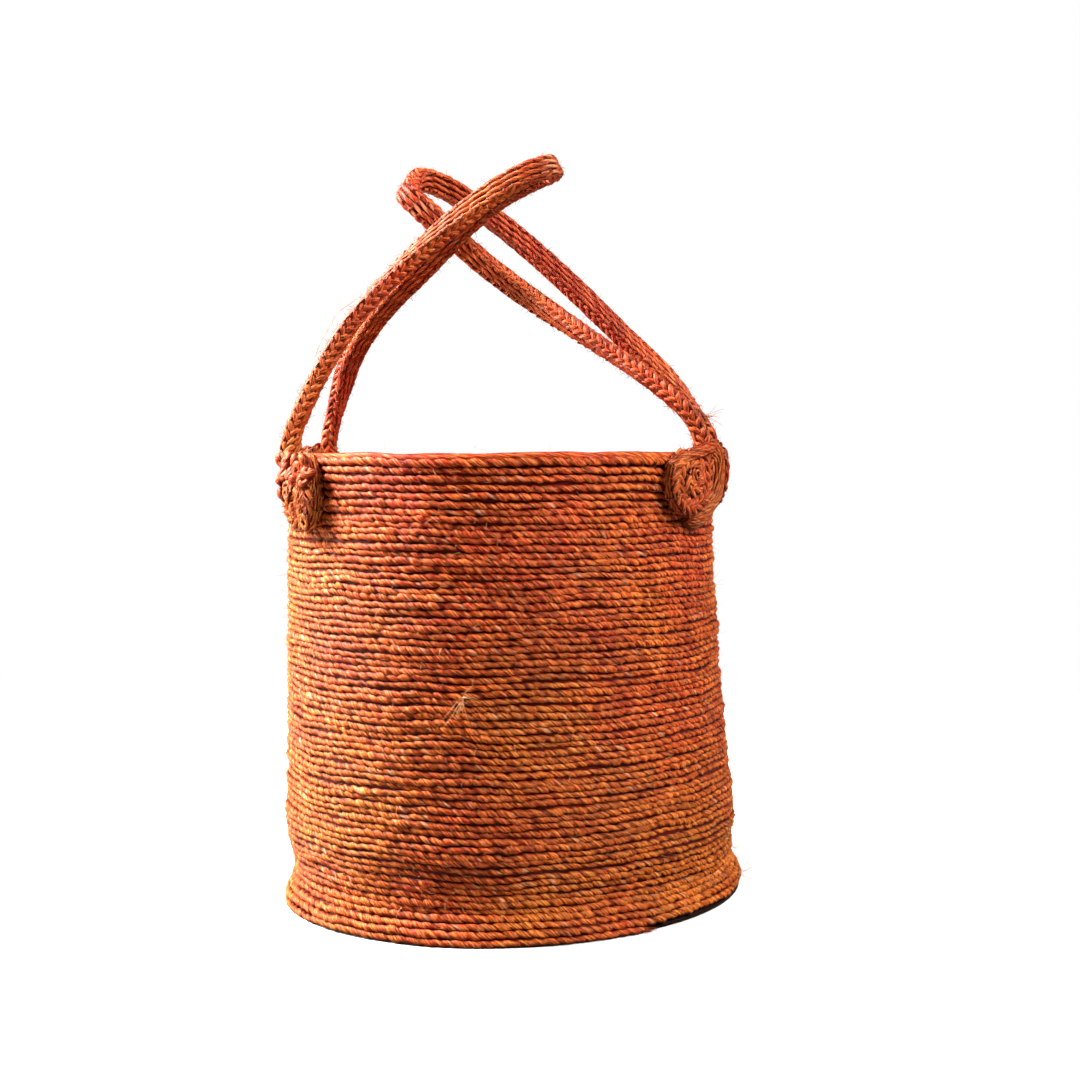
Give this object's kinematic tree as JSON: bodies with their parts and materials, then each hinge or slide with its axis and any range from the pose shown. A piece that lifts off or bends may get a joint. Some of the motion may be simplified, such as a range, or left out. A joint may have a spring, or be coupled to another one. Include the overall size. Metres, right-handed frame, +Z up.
{
  "type": "jute storage bin",
  "caption": "Round storage bin wound from twisted jute cord, with tall plaited loop handles that swing out over its sides.",
  "frame": {"origin": "on the floor, under the middle of the base", "axes": "+Z up, -Y toward the front that the picture shows, +X to the right seen from the front"},
  "size_m": [0.3326, 0.3287, 0.5204],
  "materials": {
    "wall_jute": "coarse twisted jute cord, dyed orange-red, dull with a slight sheen on the fibres",
    "mat_jute": "the same cord in the shade, dull",
    "handle_jute": "plaited jute, dyed orange-red, a shade deeper than the wall, dull",
    "twine_jute": "thin twisted jute twine, dull"
  },
  "bodies": {
    "basket": {"base_mat": "mat_jute", "wall_coil": "wall_jute", "rim_cord": "wall_jute", "left_front_coil": "handle_jute", "left_front_stitch_1": "twine_jute", "left_front_stitch_2": "twine_jute", "left_back_coil": "handle_jute", "left_back_stitch_1": "twine_jute", "left_back_stitch_2": "twine_jute", "right_front_coil": "handle_jute", "right_front_stitch_1": "twine_jute", "right_front_stitch_2": "twine_jute", "right_back_coil": "handle_jute", "right_back_stitch_1": "twine_jute", "right_back_stitch_2": "twine_jute"},
    "left_handle": {"left_handle": "handle_jute"},
    "right_handle": {"right_handle": "handle_jute"}
  },
  "joints": [
    {"name": "left_handle_swing", "type": "hinge", "parent": "basket", "child": "left_handle", "pos_m": [-0.15166, -0.06938, 0.3255], "axis": [-0.0419, -0.9991, 0], "range_deg": [0, 100]},
    {"name": "right_handle_swing", "type": "hinge", "parent": "basket", "child": "right_handle", "pos_m": [0.12416, -0.0742, 0.3255], "axis": [0.1478, 0.989, 0], "range_deg": [0, 100]}
  ]
}
